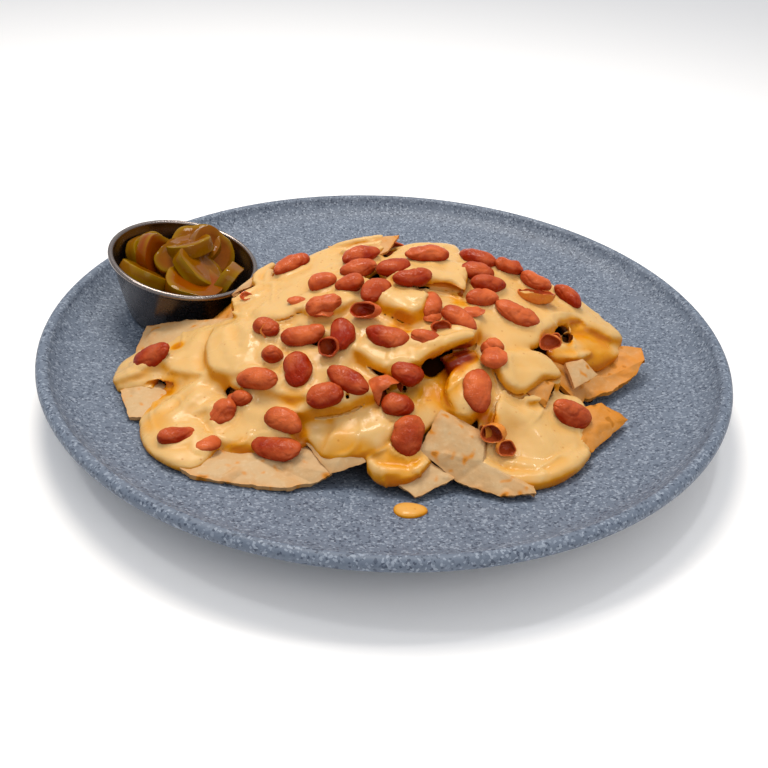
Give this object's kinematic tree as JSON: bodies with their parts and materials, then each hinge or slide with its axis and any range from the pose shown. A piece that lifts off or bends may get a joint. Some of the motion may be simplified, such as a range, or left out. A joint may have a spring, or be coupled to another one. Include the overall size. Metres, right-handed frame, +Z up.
{
  "type": "plated nachos with cheese sauce and beans",
  "caption": "Plate of tortilla chips under smooth cheese sauce and whole pinto beans, with a small steel cup of pickled pepper slices on its side.",
  "frame": {"origin": "middle of the plate's foot, on the table", "axes": "+Z up out of the plate; the viewer's side of the heap is towards -Y and the cup stands towards -X"},
  "size_m": [0.2698, 0.2698, 0.0551],
  "materials": {
    "stoneware": "satin",
    "steel": "polished",
    "peppers": "gloss",
    "tortilla_chips": "matte",
    "cheese": "gloss",
    "beans": "gloss"
  },
  "bodies": {
    "root": {"plate": "stoneware", "sauce_cup": "steel", "pepper_slices": "peppers", "chip_heap": "tortilla_chips", "chip_01": "tortilla_chips", "chip_02": "tortilla_chips", "chip_03": "tortilla_chips", "chip_04": "tortilla_chips", "chip_05": "tortilla_chips", "chip_06": "tortilla_chips", "chip_07": "tortilla_chips", "chip_08": "tortilla_chips", "chip_09": "tortilla_chips", "chip_10": "tortilla_chips", "chip_11": "tortilla_chips", "cheese_sauce": "cheese", "sauce_drop": "cheese", "bean_01": "beans", "bean_02": "beans", "bean_03": "beans", "bean_04": "beans", "bean_05": "beans", "bean_06": "beans", "bean_07": "beans", "bean_08": "beans", "bean_09": "beans", "bean_10": "beans", "bean_11": "beans", "bean_12": "beans", "bean_13": "beans", "bean_14": "beans", "bean_15": "beans", "bean_16": "beans", "bean_17": "beans", "bean_18": "beans", "bean_19": "beans", "bean_20": "beans", "bean_21": "beans", "bean_22": "beans", "bean_23": "beans", "bean_24": "beans", "bean_25": "beans", "bean_26": "beans", "bean_27": "beans", "bean_28": "beans", "bean_29": "beans", "bean_30": "beans", "bean_31": "beans", "bean_32": "beans", "bean_33": "beans", "bean_34": "beans", "bean_35": "beans", "bean_36": "beans", "bean_37": "beans", "bean_38": "beans", "bean_39": "beans", "bean_40": "beans", "bean_41": "beans", "bean_42": "beans", "bean_43": "beans"}
  },
  "joints": []
}
